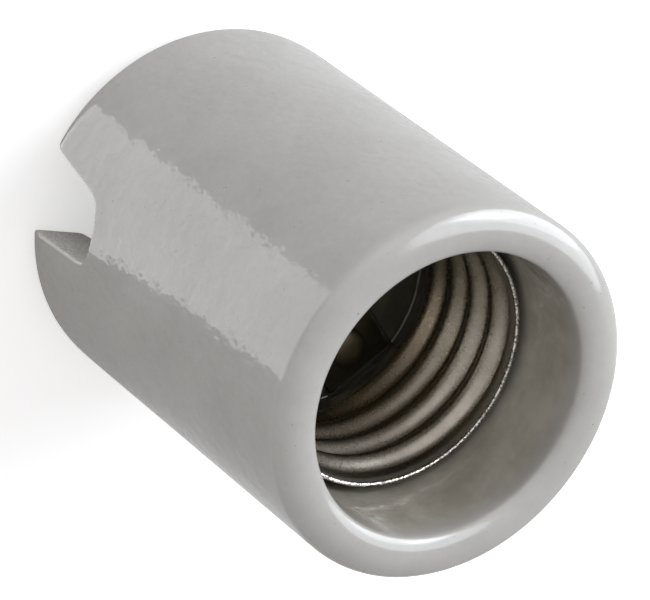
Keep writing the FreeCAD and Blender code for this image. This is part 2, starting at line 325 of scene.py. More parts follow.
# %% Cage
class Cage:
    def __init__(self):
        self.points, self.faces, self.known = [], [], {}

    def point(self, key, place):
        """The number of the point with this key, which is made if it is new."""
        if key not in self.known:
            self.known[key] = len(self.points)
            self.points.append(place)
        return self.known[key]

    def ring_point(self, column, row):
        r, z = row
        angle = column_angle(COLUMNS[column], r, z)
        return self.point((column, row), (r * math.cos(angle), r * math.sin(angle), z))

    def join_rows(self, rows, through_notch):
        count = len(COLUMNS)
        for upper, lower in zip(rows, rows[1:]):
            for i in range(count):
                if through_notch or not in_notch(i):
                    j = (i + 1) % count
                    self.faces.append((self.ring_point(i, upper), self.ring_point(i, lower),
                                       self.ring_point(j, lower), self.ring_point(j, upper)))


def in_notch(column):
    """Whether the faces between this column and the next are open."""
    centre, offset = COLUMNS[column]
    return -EDGE <= offset < EDGE


print(sum(in_notch(i) for i in range(len(COLUMNS))), "columns open a notch")

# %% [markdown]
# ## The sides of a notch
# The wall is thick, so a notch shows its own two sides and its top. Rungs across the wall draw them:
# down one side, over the top and down the other. They crowd at each face of the wall, so that the
# surface turns there in a small round.

# %% Notch sides
def rung_point(cage, column, level, step):
    """The point of a rung, at a step from the outside (0) to the inside of the wall."""
    (r0, z0), (r1, z1) = outside_notch[level], inside_notch[level]
    if step == 0:
        return cage.ring_point(column, (r0, z0))
    if step == len(RUNGS) + 1:
        return cage.ring_point(column, (r1, z1))
    if level == len(outside_notch) - 1:
        return cage.ring_point(column, rim_rows[step - 1])
    share = RUNGS[step - 1]
    r, z = r0 + (r1 - r0) * share, z0 + (z1 - z0) * share
    angle = column_angle(COLUMNS[column], r, z)
    return cage.point((column, level, step), (r * math.cos(angle), r * math.sin(angle), z))


def close_notch(cage, first, last):
    """Faces along the rungs between a notch's first and last columns."""
    levels = range(len(outside_notch))
    path = [(first, level) for level in reversed(levels)]
    path += [(column, 0) for column in range(first + 1, last)]
    path += [(last, level) for level in levels]
    for here, there in zip(path, path[1:]):
        for step in range(len(RUNGS) + 1):
            cage.faces.append((rung_point(cage, *here, step), rung_point(cage, *there, step),
                               rung_point(cage, *there, step + 1), rung_point(cage, *here, step + 1)))


notch_edges = [i for i, (centre, offset) in enumerate(COLUMNS) if abs(offset) == EDGE]
print("notch sides at columns", notch_edges)

# %% [markdown]
# ## The porcelain tube
# The rows come together in the cage, and a flat face closes the floor and the roof at the axis. Two
# levels of subdivision then turn the cage into the smooth pressed form.

# %% Porcelain tube
SMOOTHING_LEVELS = 2

cage = Cage()
cage.join_rows(outside_notch + rim_rows + inside_notch[::-1], through_notch=False)
cage.join_rows([outside_notch[0]] + mouth_rows, through_notch=True)
cage.join_rows([inside_notch[0]] + chamber_rows, through_notch=True)
for rows in (mouth_rows, chamber_rows):
    cage.faces.append([cage.ring_point(i, rows[-1]) for i in range(len(COLUMNS))])
for first, last in zip(notch_edges[::2], notch_edges[1::2]):
    close_notch(cage, first, last)
porcelain = make_mesh("porcelain_tube", cage.points, cage.faces)
tidy_mesh(porcelain, gap=0)
rounding = porcelain.modifiers.new("rounding", "SUBSURF")
rounding.levels = rounding.render_levels = SMOOTHING_LEVELS
keep_modifiers(porcelain)
print("porcelain_tube has", len(porcelain.data.polygons), "faces")

# %% [markdown]
# ## Cutters for the web
# The web between the cavity and the wiring chamber has holes for rivets and mounting screws, and
# pockets for the ends of the terminal screws. It is flat, so Boolean modifiers can cut it without
# spoiling the smooth walls. Each cutter flares where it breaks through, as glaze leaves no sharp edge.

# %% Round cutter
TERMINAL_PLACE = 8.5  # distance of the terminals from the axis
RIVET_PLACE = 9.0  # distance of the rivets and mounting holes
PROUD = 1.0  # how far a cutter stands out of the web


def place_at(distance, direction):
    return distance * math.cos(direction), distance * math.sin(direction)


def hole_cutter(radius, top, place, flare=0.3):
    """A rod from under the roof to a height, and out of the floor if it gets there."""
    wide, below = radius + flare, ROOF - PROUD
    section = [(0.0, below), (wide, below), (wide, ROOF), (radius, ROOF + flare)]
    if top == FLOOR:
        section += [(radius, top - flare), (wide, top), (wide, top + PROUD), (0.0, top + PROUD)]
    else:
        section += [(radius, top), (0.0, top)]
    return make_mesh("cutter", *lathe(section, place, 48))


print(f"the web is {FLOOR - ROOF:.1f} mm thick")

# %% [markdown]
# ## Seats for the feet
# The feet of the shell and of the contact strip lie in shallow seats in the floor, which keep them from
# turning on their one rivet. A block turned to the foot's direction cuts each seat, and another cuts
# the gap in the ledge for the shell's leg.

# %% Block cutter
SEAT_HEIGHT = FLOOR - 0.4
SEAT_WIDTH = 8.4
BLOCK_FACES = [(3, 2, 1, 0), (4, 5, 6, 7), (0, 1, 5, 4), (1, 2, 6, 5), (2, 3, 7, 6), (3, 0, 4, 7)]


def block_cutter(near, far, top, direction):
    """A block on the seat's height, between two distances from the axis."""
    corners = []
    for height in (SEAT_HEIGHT, top):
        for distance, side in ((near, -1), (far, -1), (far, 1), (near, 1)):
            x, y = distance, side * SEAT_WIDTH / 2
            corners.append((x * math.cos(direction) - y * math.sin(direction),
                            x * math.sin(direction) + y * math.cos(direction), height))
    return make_mesh("cutter", corners, BLOCK_FACES)


print(f"seats {FLOOR - SEAT_HEIGHT:.1f} mm deep and {SEAT_WIDTH} mm wide")

# %% [markdown]
# ## Cutting the web
# All cuts are made in one go, each as a Boolean difference. The exact solver is slower than the fast
# one, but leaves clean edges on so fine a mesh. Steep edges are then marked sharp, so that shading
# doesn't smear over them.

# %% Cut the web
POCKET, POCKET_TOP = 2.8, ROOF + 4  # radius and height
RIVET_HOLE, RIVET_HOLE_FLARE = 1.4, 0.15  # radius and flare
MOUNTING_HOLE = 2.1  # radius
FOOT_SEAT = (4.4, WELL - 0.2)  # distances from the axis
LEG_SLOT = (10.95, 13.95)
PORCELAIN_SHARP = math.radians(38)


def cut_away(piece, cutters):
    """Cuts each cutter out of the piece and throws the cutters away."""
    for cutter in cutters:
        tidy_mesh(cutter)
        step = piece.modifiers.new("cut", "BOOLEAN")
        step.operation = "DIFFERENCE"
        step.solver = "EXACT"
        step.object = cutter
    keep_modifiers(piece)
    for cutter in cutters:
        bpy.data.objects.remove(cutter)


cutters = [hole_cutter(POCKET, POCKET_TOP, (side * TERMINAL_PLACE, 0)) for side in (1, -1)]
for direction in (CONTACT_ANGLE, OPPOSITE):
    beside = direction + math.pi / 2
    cutters.append(hole_cutter(RIVET_HOLE, FLOOR, place_at(RIVET_PLACE, direction), RIVET_HOLE_FLARE))
    cutters.append(hole_cutter(MOUNTING_HOLE, FLOOR, place_at(RIVET_PLACE, beside)))
    cutters.append(block_cutter(*FOOT_SEAT, FLOOR + 0.5, direction))
cutters.append(block_cutter(*LEG_SLOT, LEDGE + 0.2, OPPOSITE))
cut_away(porcelain, cutters)
porcelain.data.set_sharp_from_angle(angle=PORCELAIN_SHARP)
seat(porcelain, "holder", "porcelain", "porcelain_body")

# %% [markdown]
# ## The rolled thread
# The shell is thin brass sheet, drawn into a cup and rolled between two threaded dies, so the same wave
# shows inside and out. A profile swept along a helix would stop short at its ends. A function of
# direction and height gives the radius everywhere and lets the wave fade out at both ends, as a rolled
# thread does.

# %% Thread wave
THREAD_MAJOR, THREAD_MINOR = 13.3, 12.2  # inner radii at the root and at the crest
PITCH = 3.629
FIRST_CREST = 25.7  # height of the thread's start
START_TURN = 161.5 / 360  # direction of the thread's start, in turns
FULL_TURNS, FADE_TURNS = 3.05, 0.35
FULLNESS = 0.85  # under 1, the crests are wider than the roots


def smooth(t):
    """A soft step from 0 to 1."""
    t = min(max(t, 0.0), 1.0)
    return t * t * (3 - 2 * t)


def shell_radius(turn, z):
    """Inner radius of the shell at a direction, in turns, and a height."""
    phase = (z - FIRST_CREST) / PITCH - (turn - START_TURN)
    along = turn - START_TURN + round(phase)
    depth = smooth(along / FADE_TURNS + 1) * smooth((FULL_TURNS - along) / FADE_TURNS + 1)
    wave = 0.5 + 0.5 * math.cos(2 * math.pi * phase)
    return THREAD_MAJOR - (THREAD_MAJOR - THREAD_MINOR) * depth * wave ** FULLNESS


print(f"crest {shell_radius(START_TURN, FIRST_CREST):.2f} mm, rim {shell_radius(0, SHELL_TOP):.2f} mm")

# %% [markdown]
# ## The shell's sheet
# A fine grid wrapped round the axis carries the wave. A Solidify modifier adds the sheet's thickness on
# the outside, so that the inner face, which holds the lamp, keeps its radii.

# %% Shell sheet
SHELL_COLUMNS, SHELL_ROWS = 256, 104
SHEET = 0.35  # thickness

points = []
for row in range(SHELL_ROWS + 1):
    level = LEDGE + (SHELL_TOP - LEDGE) * row / SHELL_ROWS
    points += ring([shell_radius(i / SHELL_COLUMNS, level) for i in range(SHELL_COLUMNS)], level)
shell = make_mesh("rolled_shell", points, wrapped_faces(SHELL_ROWS + 1, SHELL_COLUMNS))
thickness = shell.modifiers.new("sheet", "SOLIDIFY")
thickness.thickness = SHEET * MM
thickness.offset = 1
keep_modifiers(shell)
print("rolled_shell has", len(shell.data.polygons), "faces")

# %% [markdown]
# ## Bent strips
# The shell's foot and the centre contact are flat strips, bent across their width. A curve with a flat
# bevel would pinch at tight bends, so a strip is drawn as its path, with a round at each bend, and then
# gets its width, its thickness and softened edges.

# %% Strip maker
ACROSS = (-0.5, -0.2, 0.2, 0.5)  # points across a strip, as shares of its width
BEND_STEPS = 5
EDGE_ROUND = 0.08
EDGE_ANGLE, STRIP_SHARP = math.radians(50), math.radians(40)


def strip(name, path, width, thickness, direction, bend=0.8):
    """A bent strip lying on its path, which is given as (distance from the axis, height)."""
    across = Vector((-math.sin(direction), math.cos(direction), 0))
    along = Vector((math.cos(direction), math.sin(direction), 0))
    up = Vector((0, 0, 1))
    line = rounded(path, bend, BEND_STEPS)
    count = len(ACROSS)
    points, faces = [], []
    for place in line:
        for side in ACROSS:
            points.append(along * place[0] + up * place[1] + across * width * side)
    for i in range(len(line) - 1):
        for j in range(count - 1):
            low, high = i * count + j, (i + 1) * count + j
            faces.append((low, low + 1, high + 1, high))
    piece = make_mesh(name, points, faces)
    sheet = piece.modifiers.new("sheet", "SOLIDIFY")
    sheet.thickness = thickness * MM
    sheet.offset = -1
    edge = piece.modifiers.new("soft_edges", "BEVEL")
    edge.width = EDGE_ROUND * MM
    edge.segments = 2
    edge.angle_limit = EDGE_ANGLE
    keep_modifiers(piece)
    tidy_mesh(piece)
    piece.data.set_sharp_from_angle(angle=STRIP_SHARP)
    return piece


print(len(ACROSS), "points across a strip")

# %% [markdown]
# ## Centre contact
# A strip of springy bronze rises from its seat and ends in a flat tongue over the axis, where the tip
# of a lamp presses it down.

# %% Centre contact
FOOT_WIDTH = 7.6
STRIP_SHEET = 0.5  # thickness
TONGUE_HEIGHT, TONGUE_END = 27.1, 1.8  # flat part, to each side of the axis

contact_path = [(-4.6, 26.2), (-TONGUE_END, TONGUE_HEIGHT), (TONGUE_END, TONGUE_HEIGHT),
                (5.4, SEAT_HEIGHT), (12.4, SEAT_HEIGHT)]
contact = strip("contact_spring", contact_path, FOOT_WIDTH, STRIP_SHEET, CONTACT_ANGLE)
seat(contact, "holder", "contact_strip", "centre_contact")

# %% [markdown]
# ## The shell's foot
# One leg of the shell turns in over the ledge and ends in a flat foot. It is the same sheet, so the two
# become one object. This path runs inwards, which turns its upper side over, and a negative thickness
# allows for that.

# %% Shell foot
LEG_PLACE, FOOT_END = 13.62, 5.8  # distances from the axis

foot_path = [(LEG_PLACE, LEDGE + 0.1), (LEG_PLACE, SEAT_HEIGHT), (FOOT_END, SEAT_HEIGHT)]
foot = strip("shell_foot", foot_path, FOOT_WIDTH, -SHEET, OPPOSITE, bend=0.7)
with bpy.context.temp_override(active_object=shell, selected_editable_objects=[shell, foot]):
    bpy.ops.object.join()
seat(shell, "holder", "shell_plating", "screw_shell")

# %% [markdown]
# ## Rivets
# Each foot is riveted through the web to a terminal plate, with a low dome inside and a set tail
# behind. One section for the lathe draws both ends and the shank.

# %% Rivets
PLATE_BOTTOM = ROOF - 0.9  # underside of the terminal plates
RIVET = dict(shank=1.2, neck=1.9, head=2.0, edge=0.25, rise=0.75, tail=1.8, tail_height=0.8)
TAIL_ROUND = 0.35


def rivet(name, seat_top, direction, node):
    tail_end = PLATE_BOTTOM - RIVET["tail_height"]
    tail = rounded([(0, tail_end), (RIVET["tail"], tail_end), (RIVET["tail"], PLATE_BOTTOM),
                    (RIVET["shank"], PLATE_BOTTOM)], TAIL_ROUND)
    neck = [(RIVET["shank"], seat_top), (RIVET["neck"], seat_top)]
    arc = [math.radians(10 * i) for i in range(10)]
    dome = [(RIVET["head"] * math.cos(a), seat_top + RIVET["edge"] + RIVET["rise"] * math.sin(a))
            for a in arc]
    piece = make_mesh(name, *lathe(tail + neck + dome, place_at(RIVET_PLACE, direction), 40))
    tidy_mesh(piece)
    seat(piece, "holder", "rivet_brass", node)
    return piece


rivets = [rivet("shell_side_rivet", SEAT_HEIGHT + SHEET, OPPOSITE, "shell_rivet"),
          rivet("contact_side_rivet", SEAT_HEIGHT + STRIP_SHEET, CONTACT_ANGLE, "centre_rivet")]

# %% [markdown]
# ## Clamp washers
# A loose washer under each screw's head presses the wire against the terminal plate. It travels with
# the screw, so it rides on a body of its own. Its section starts midway along the underside, where the
# head hides the join.

# %% Clamp washers
SCREW_RADIUS = 1.75
WASHER = dict(radius=3.5, sheet=1.0, start=2.6, edge=0.15)
WASHER_BOTTOM = PLATE_BOTTOM - WASHER["sheet"]


def washer(name, direction, body, node):
    hole = SCREW_RADIUS + 0.05
    top = WASHER_BOTTOM + WASHER["sheet"]
    section = rounded([(WASHER["start"], WASHER_BOTTOM), (hole, WASHER_BOTTOM), (hole, top),
                       (WASHER["radius"], top), (WASHER["radius"], WASHER_BOTTOM),
                       (WASHER["start"], WASHER_BOTTOM)], WASHER["edge"])
    piece = make_mesh(name, *lathe(section, place_at(TERMINAL_PLACE, direction), 64))
    tidy_mesh(piece)
    seat(piece, body, "clamp_steel", node)
    return piece


washers = [washer("shell_side_washer", 0, "shell_clamp", "shell_clamp_washer"),
           washer("contact_side_washer", math.pi, "centre_clamp", "centre_clamp_washer")]

# %% [markdown]
# ## A screw's thread
# A binding screw has a fine rolled thread. A bump could fake it, but not at the shank's edge. Here the
# rings of the shank swell and shrink by direction and height, which gives true ridges.

# %% Wound shank
SCREW_PITCH = 0.79375
SCREW_SIDES = 72
SHANK = dict(length=5.2, neck=1.4, core=1.36, ridge=0.37, tip=1.2, margin=0.15, steps=90)
RUN_IN, RUN_OUT = 0.6, 0.7  # heights over which the ridge grows and fades


def wound_radius(side, z, low, high):
    """Radius of the shank at one of its sides and a height between its two ends."""
    share = 0.5 + 0.5 * math.cos(2 * math.pi * (z / SCREW_PITCH - side / SCREW_SIDES))
    ends = smooth((z - low) / RUN_IN) * smooth((high - z) / RUN_OUT)
    return SHANK["core"] + SHANK["ridge"] * share * ends


def shank_points(place, low):
    """Rings of points up the shank, and how many rings there are."""
    high = low + SHANK["length"]
    wound = SHANK["length"] - 2 * SHANK["margin"]
    heights = [low + SHANK["margin"] + wound * i / SHANK["steps"] for i in range(SHANK["steps"] + 1)]
    points = ring([SHANK["neck"]] * SCREW_SIDES, low, place)
    for z in heights:
        points += ring([wound_radius(i, z, low, high) for i in range(SCREW_SIDES)], z, place)
    for r in (SHANK["tip"], 0.0):
        points += ring([r] * SCREW_SIDES, high, place)
    return points, len(heights) + 3


print(f"{SHANK['length'] / SCREW_PITCH:.1f} turns of thread on a shank")

# %% [markdown]
# ## Binding screws
# The head is a low dome with a straight slot for a screwdriver. It is lathed, the wound shank is set on
# it in the same mesh, and a thin block cuts the slot.

# %% Binding screws
HEAD = dict(radius=3.2, height=2.3, dome=1.1, edge=0.15)
SLOT = dict(turn=math.radians(30), half_width=0.45, depth=1.1, reach=5)
SLOT_FACES = [(0, 2, 3, 1), (4, 5, 7, 6), (0, 1, 5, 4), (2, 6, 7, 3), (0, 4, 6, 2), (1, 3, 7, 5)]
SCREW_SHARP = math.radians(40)


def slot_cutter(place, low):
    turn = SLOT["turn"]
    along = Vector((math.cos(turn), math.sin(turn), 0))
    across = Vector((-math.sin(turn), math.cos(turn), 0))
    corners = [Vector((*place, low)) + along * SLOT["reach"] * i + across * SLOT["half_width"] * j
               + Vector((0, 0, k)) for k in (-PROUD, SLOT["depth"]) for j in (-1, 1) for i in (-1, 1)]
    return make_mesh("cutter", corners, SLOT_FACES)


def screw(name, direction, body, node):
    place = place_at(TERMINAL_PLACE, direction)
    low, bearing, radius = WASHER_BOTTOM - HEAD["height"], WASHER_BOTTOM, HEAD["radius"]
    arc = [math.radians(9 * i) for i in range(1, 11)]
    head = [(0.0, low)] + [(radius * math.sin(a), low + HEAD["dome"] * (1 - math.cos(a))) for a in arc]
    head += [(radius, bearing - HEAD["edge"]), (radius - HEAD["edge"], bearing), (SHANK["neck"], bearing)]
    points, faces = lathe(head, place, SCREW_SIDES)
    shank, rings = shank_points(place, bearing)
    faces += wrapped_faces(rings, SCREW_SIDES, first=len(points))
    piece = make_mesh(name, points + shank, faces)
    tidy_mesh(piece)
    cut_away(piece, [slot_cutter(place, low)])
    piece.data.set_sharp_from_angle(angle=SCREW_SHARP)
    seat(piece, body, "screw_steel", node)
    return piece


screws = [screw("shell_side_screw", 0, "shell_screw", "shell_terminal_screw"),
          screw("contact_side_screw", math.pi, "centre_screw", "centre_terminal_screw")]

# %% [markdown]
# ## Materials
# Each finish is one node material. It could be painted on an image, but patterns worked out from the
# place on the object stay sharp at any distance.

# %% Material helpers
def finish_material(name, fixed):
    """A new material, its node tree, its shader and the place that patterns follow."""
    material = bpy.data.materials.new(name)
    material.use_nodes = True
    tree = material.node_tree
    shader = tree.nodes["Principled BSDF"]
    for socket, value in fixed.items():
        shader.inputs[socket].default_value = value
    place = tree.nodes.new("ShaderNodeTexCoord")
    return material, tree, shader, place.outputs["Object"]


def noise(tree, place, size, detail=3.0, roughness=0.55):
    """Noise whose patches are about size millimetres across."""
    node = tree.nodes.new("ShaderNodeTexNoise")
    node.inputs["Scale"].default_value = 1 / (size * MM)
    node.inputs["Detail"].default_value = detail
    node.inputs["Roughness"].default_value = roughness
    tree.links.new(place, node.inputs["Vector"])
    return node.outputs["Fac"]


def ramp(tree, source, *stops):
    """A colour ramp with (position, colour or grey) stops."""
    node = tree.nodes.new("ShaderNodeValToRGB")
    while len(node.color_ramp.elements) < len(stops):
        node.color_ramp.elements.new(0.5)
    for element, (position, colour) in zip(node.color_ramp.elements, stops):
        element.position = position
        element.color = (*colour, 1) if isinstance(colour, tuple) else (colour, colour, colour, 1)
    tree.links.new(source, node.inputs["Fac"])
    return node.outputs["Color"]


def grey(value):
    return value, value, value


print("a grain of 0.25 mm is noise at scale", 1 / (0.25 * MM))

# %% Bump and blend
def bump(tree, shader, height, strength, depth):
    """Adds a bump, in millimetres, to whatever normal the shader already has."""
    node = tree.nodes.new("ShaderNodeBump")
    node.inputs["Strength"].default_value = strength
    node.inputs["Distance"].default_value = depth * MM
    tree.links.new(height, node.inputs["Height"])
    if shader.inputs["Normal"].is_linked:
        tree.links.new(shader.inputs["Normal"].links[0].from_socket, node.inputs["Normal"])
    tree.links.new(node.outputs["Normal"], shader.inputs["Normal"])


MIX_SHARE, MIX_FIRST, MIX_SECOND, MIX_COLOUR = 0, 6, 7, 2  # the Mix node's sockets for colours


def blend_colours(tree, share, first, second, kind="MIX"):
    """Second over first by share. Each may be a socket or a plain value."""
    node = tree.nodes.new("ShaderNodeMix")
    node.data_type = "RGBA"
    node.blend_type = kind
    for number, value in ((MIX_SHARE, share), (MIX_FIRST, first), (MIX_SECOND, second)):
        socket = node.inputs[number]
        if isinstance(value, (int, float)):
            socket.default_value = value
        elif isinstance(value, tuple):
            socket.default_value = (*value, 1)
        else:
            tree.links.new(value, socket)
    return node.outputs[MIX_COLOUR]


def dress(piece, material):
    piece.data.materials.clear()
    piece.data.materials.append(material)


print("blends: MIX lays over, MULTIPLY stains")

# %% [markdown]
# ## Zones of the holder
# The lip, the cavity, the deep floor and the sides of the notches each have their own look. Separate
# materials on chosen faces would end in hard lines. Heights and distances from the axis, read from the
# object's own coordinates, tell the zones apart and let one fade into the next.

# %% Zones of the holder
def ranged(tree, value, full, none, unit=MM):
    """1 where the value is full and beyond, 0 where it is none, in millimetres."""
    node = tree.nodes.new("ShaderNodeMapRange")
    node.inputs["From Min"].default_value = none * unit
    node.inputs["From Max"].default_value = full * unit
    tree.links.new(value, node.inputs["Value"])
    return node.outputs["Result"]


def maths(tree, operation, first, *others):
    """One arithmetic node, or a chain of them where there are more than two values."""
    for other in others or [None]:
        node = tree.nodes.new("ShaderNodeMath")
        node.operation = operation
        tree.links.new(first, node.inputs[0])
        if other is not None:
            tree.links.new(other, node.inputs[1])
        first = node.outputs[0]
    return first


def parts_of_place(tree, place):
    """Sideways distance, height and distance from the axis."""
    split = tree.nodes.new("ShaderNodeSeparateXYZ")
    tree.links.new(place, split.inputs[0])
    flat = tree.nodes.new("ShaderNodeCombineXYZ")
    tree.links.new(split.outputs["X"], flat.inputs["X"])
    tree.links.new(split.outputs["Y"], flat.inputs["Y"])
    reach = tree.nodes.new("ShaderNodeVectorMath")
    reach.operation = "LENGTH"
    tree.links.new(flat.outputs[0], reach.inputs[0])
    return maths(tree, "ABSOLUTE", split.outputs["Y"]), split.outputs["Z"], reach.outputs["Value"]


print(f"cavity inside {BORE} mm, web from {ROOF} to {FLOOR} mm")

# %% [markdown]
# ## The glazed body
# The porcelain is a greyish white body under clear glaze. Up close it has soft clouds, a fine mottle
# and a few dark specks, which noise at three sizes gives. The lip is painted paler, as painted light.

# %% Body tone
BODY_DARK, BODY_LIGHT = (0.495, 0.483, 0.462), (0.54, 0.528, 0.505)
# The lip is painted paler and slightly cooler: painted light for the bright sweep on its crown.
LIP_PAINTED_LIGHT = (1.15, 1.16, 1.165)  # times the body's colour
SPECK = (0.25, 0.22, 0.19)


def body_tone(tree, place, height):
    patches = noise(tree, place, 9, 4)
    tone = ramp(tree, patches, (0.35, BODY_DARK), (0.65, BODY_LIGHT))
    mottle = ramp(tree, noise(tree, place, 0.9, 5, 0.7), (0.3, 0.94), (0.7, 1.0))
    tone = blend_colours(tree, 1.0, tone, mottle, "MULTIPLY")
    # Painted light: the tone is raised towards the lip's crown.
    lip = ranged(tree, height, LENGTH - 0.7, LENGTH - 2.0)
    paler = blend_colours(tree, 1.0, tone, LIP_PAINTED_LIGHT, "MULTIPLY")
    tone = blend_colours(tree, lip, tone, paler)
    specks = ramp(tree, noise(tree, place, 0.5, 2, 0.5), (0.72, 0.0), (0.77, 0.6))
    return blend_colours(tree, specks, tone, SPECK)


print("body tone from", BODY_DARK, "to", BODY_LIGHT)

# %% [markdown]
# ## Inside the mouth
# Inside the mouth the glaze is cloudy and is painted warmer, with darker clouds, for the warm bounced
# light and shade of the cavity, and the well and floor below the ledge are painted near black as painted
# shade. Each zone is a product of plain ranges, which end above the web, so that the wiring chamber stays
# clean.

# %% Cavity tone
# The bore's own cloudy mottle is painted warmer, with darker clouds: painted warm bounce light and shade
# of the cavity.
PAINTED_BOUNCE_DARK, PAINTED_BOUNCE_LIGHT = (0.44, 0.412, 0.355), (0.56, 0.535, 0.47)
# The well and the floor are painted near black: painted shade for the dark depth of the cavity.
FLOOR_PAINTED_SHADE = (0.075, 0.07, 0.05)


def cavity_tone(tree, tone, place, height, reach):
    inside = ranged(tree, reach, BORE + 0.1, BORE + 1.2)
    below_lip = ranged(tree, height, LENGTH - 4, LENGTH - 0.5)
    below_ledge = ranged(tree, height, LEDGE - 0.5, LEDGE + 1)
    above_web = ranged(tree, height, ROOF + 4, ROOF + 3)
    clouds = noise(tree, place, 5, 6, 0.65)
    clouds = ramp(tree, clouds, (0.40, PAINTED_BOUNCE_DARK), (0.62, PAINTED_BOUNCE_LIGHT))
    # Painted warm bounce light and shade inside the bore.
    painted_bounce_share = maths(tree, "MULTIPLY", inside, below_lip, above_web)
    tone = blend_colours(tree, painted_bounce_share, tone, clouds)
    # Painted shade: near black on the well and the floor below the ledge.
    floor_shade_share = maths(tree, "MULTIPLY", inside, below_ledge, above_web)
    return blend_colours(tree, floor_shade_share, tone, FLOOR_PAINTED_SHADE)


print("cavity tone from", PAINTED_BOUNCE_DARK, "to", PAINTED_BOUNCE_LIGHT)

# %% [markdown]
# ## Bare sides of the notches
# The sides of a notch are wiped clean of glaze, because the body stands on its rim in the kiln, and
# show a rough, speckled biscuit, painted much lighter than the glaze: painted light for the light that
# reaches into the notch. They are the only faces there that look sideways, so the zone is found
# from the surface's direction as well as its place.

# %% Notch flanks
# Both biscuit tones are painted much lighter than the glaze: painted light for the notch, over the
# biscuit's own speckle.
BISCUIT_PAINTED_LIGHT_LOW, BISCUIT_PAINTED_LIGHT_HIGH = (0.60, 0.58, 0.55), (0.84, 0.82, 0.79)
SIDEWAYS_FULL, SIDEWAYS_NONE = 0.85, 0.6  # share of the direction that is sideways


def notch_flank(tree, sideways, height):
    """1 on the flat sides of the notches."""
    facing = tree.nodes.new("ShaderNodeSeparateXYZ")
    tree.links.new(tree.nodes["Texture Coordinate"].outputs["Normal"], facing.inputs[0])
    turned = maths(tree, "ABSOLUTE", facing.outputs["Y"])
    flat_side = ranged(tree, turned, SIDEWAYS_FULL, SIDEWAYS_NONE, unit=1)
    beside = ranged(tree, sideways, WIDE["rim"] + 1, WIDE["rim"] + 1.5)
    below_top = ranged(tree, height, NOTCH_TOP, NOTCH_TOP + 0.4)
    return maths(tree, "MULTIPLY", beside, below_top, flat_side)


def biscuit_painted_light_tone(tree, place):
    speckle = noise(tree, place, 0.3, 3, 0.6)
    return ramp(tree, speckle, (0.36, BISCUIT_PAINTED_LIGHT_LOW), (0.55, BISCUIT_PAINTED_LIGHT_HIGH))


print(f"bare within {WIDE['rim'] + 1:.1f} mm of the notch's middle")

# %% [markdown]
# ## Porcelain glaze
# The tones come together in one material. The glaze lies in shallow ripples, which break up the edges
# of every reflection on the wall and fade towards the lip.

# %% Porcelain glaze
GLAZE_IOR = 1.5
BISCUIT_ROUGHNESS = 0.55
LEVEL = grey(0.5)  # a height that changes nothing


def glaze_relief(tree, shader, place, height):
    bump(tree, shader, noise(tree, place, 7, 2), 0.5, 0.10)
    below_lip = ranged(tree, height, LENGTH - 5, LENGTH - 2)
    ripple = blend_colours(tree, below_lip, LEVEL, noise(tree, place, 1.7, 2, 0.5))
    bump(tree, shader, ripple, 1.0, 0.12)
    bump(tree, shader, noise(tree, place, 0.4, 3), 0.4, 0.008)


def glaze_material():
    material, tree, shader, place = finish_material("porcelain_glaze", {"IOR": GLAZE_IOR})
    sideways, height, reach = parts_of_place(tree, place)
    tone = body_tone(tree, place, height)
    tone = cavity_tone(tree, tone, place, height, reach)
    flank = notch_flank(tree, sideways, height)
    tone = blend_colours(tree, flank, tone, biscuit_painted_light_tone(tree, place))
    tree.links.new(tone, shader.inputs["Base Color"])
    gloss = ramp(tree, noise(tree, place, 3, 4, 0.6), (0.3, 0.07), (0.7, 0.17))
    gloss = blend_colours(tree, flank, gloss, grey(BISCUIT_ROUGHNESS))
    tree.links.new(gloss, shader.inputs["Roughness"])
    glaze_relief(tree, shader, place, height)
    return material


dress(porcelain, glaze_material())
print("porcelain_glaze has", len(porcelain.data.materials[0].node_tree.nodes), "nodes")

# %% [markdown]
# ## Plated metal
# The contact strip is dull tinned bronze and the rivets brass, both given very dark tones as painted
# shade for the dark floor of the cavity, and the terminals are bare brass with zinc-plated screws. All
# are one recipe with other values: a metallic shader, a tone that drifts between two shades, and a fine
# grain that varies the gloss and the bump.

# %% Plated metal
def plate_material(name, light, dark, rough=(0.22, 0.42), grain_depth=0.006):
    material, tree, shader, place = finish_material(name, {"Metallic": 1.0})
    patches = noise(tree, place, 2.5, 5, 0.65)
    tone = ramp(tree, patches, (0.35, dark), (0.7, light))
    tree.links.new(tone, shader.inputs["Base Color"])
    grain = noise(tree, place, 0.35, 4, 0.7)
    tree.links.new(ramp(tree, grain, (0.3, rough[0]), (0.7, rough[1])), shader.inputs["Roughness"])
    bump(tree, shader, noise(tree, place, 0.25, 3), 0.3, grain_depth)
    return material


# The strip's and the rivets' tones are painted near black: painted shade for where they sit deep in the
# cavity.
painted_shade_strip_finish = plate_material("contact_plate", (0.20, 0.18, 0.11), (0.13, 0.115, 0.07), (0.35, 0.5))
painted_shade_rivet_finish = plate_material("rivet_brass", (0.17, 0.145, 0.09), (0.11, 0.09, 0.055), (0.45, 0.6))
brass = plate_material("terminal_brass", (0.72, 0.53, 0.26), (0.52, 0.36, 0.16))
zinc = plate_material("zinc_plate", (0.66, 0.67, 0.68), (0.48, 0.49, 0.50))
dress(contact, painted_shade_strip_finish)
for piece in rivets:
    dress(piece, painted_shade_rivet_finish)
for piece in washers + screws:
    dress(piece, zinc)
for node in ("shell_terminal", "centre_terminal"):
    for slot_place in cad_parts[node].material_slots:
        slot_place.material = brass
print("dressed", 1 + len(rivets + washers + screws), "pieces and both terminals")

# %% [markdown]
# ## The shell's plate
# The shell is brass with a thin nickel plate. It is painted darker towards the floor, as painted shade
# for the light that fades deep in the mouth; the plain collar above the thread is paler and scrubbed
# dull, and the cut edge keeps the coarse, sparkling grain that the shears leave.

